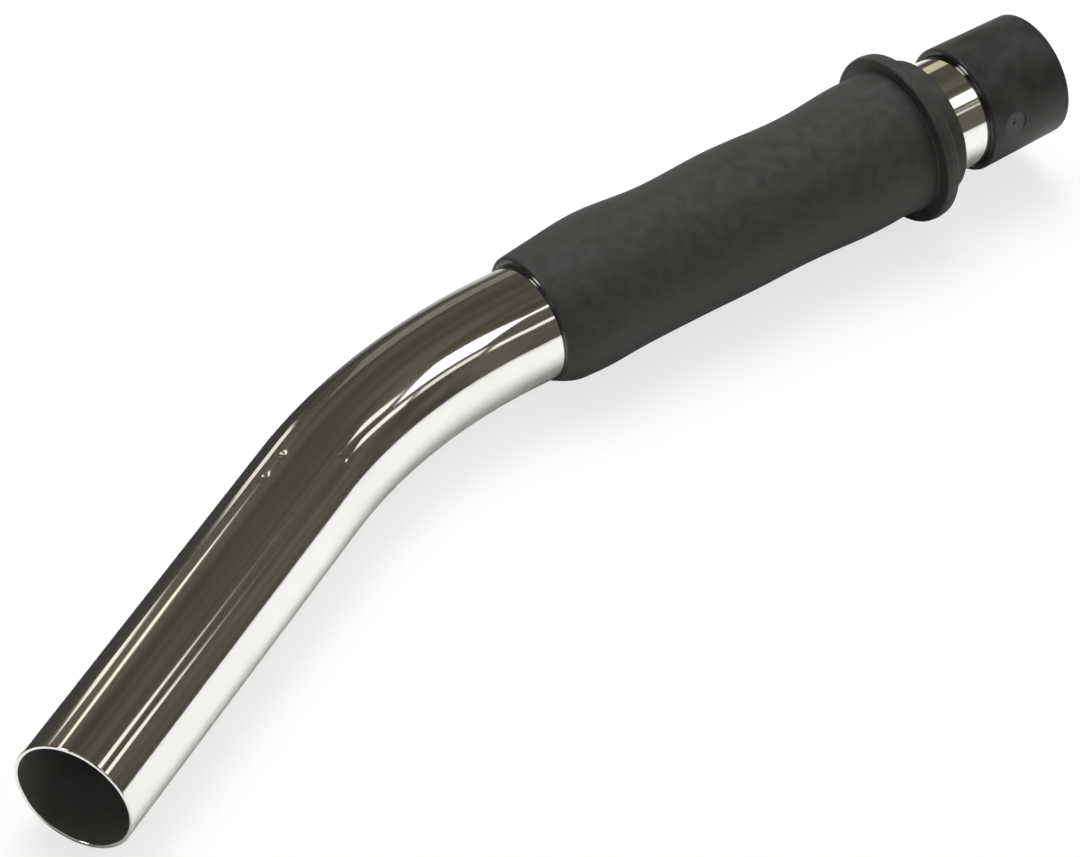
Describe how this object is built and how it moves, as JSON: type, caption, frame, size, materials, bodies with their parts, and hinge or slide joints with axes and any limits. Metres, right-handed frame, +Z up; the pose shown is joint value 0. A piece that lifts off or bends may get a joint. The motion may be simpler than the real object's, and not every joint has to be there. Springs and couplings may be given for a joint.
{
  "type": "curved vacuum wand handle",
  "caption": "Bent chrome tube handle of a vacuum cleaner wand, with a rubber hand grip, a finger stop and a swivel cuff for the hose at its rear end.",
  "frame": {"origin": "under the middle of the handle's box, on the surface that it lies on", "axes": "+X along the straight front arm from its open end towards the bend, +Z up from the surface that the handle lies on; the rear arm turns towards -Y"},
  "size_m": [0.3538, 0.1327, 0.0486],
  "materials": {
    "chromed_tube": "mirror plated",
    "grip_rubber": "matt, faintly mottled",
    "cuff_plastic": "satin",
    "stud_plastic": "satin"
  },
  "bodies": {
    "wand": {"bent_tube": "chromed_tube", "hand_grip": "grip_rubber"},
    "cuff": {"swivel_cuff": "cuff_plastic", "retaining_stud_1": "stud_plastic", "retaining_stud_2": "stud_plastic"}
  },
  "joints": [
    {"name": "cuff_swivel", "type": "hinge", "parent": "wand", "child": "cuff", "pos_m": [0.15183, -0.0421, 0.02535], "axis": [0.8826, -0.4685, 0.0393], "continuous": true}
  ]
}
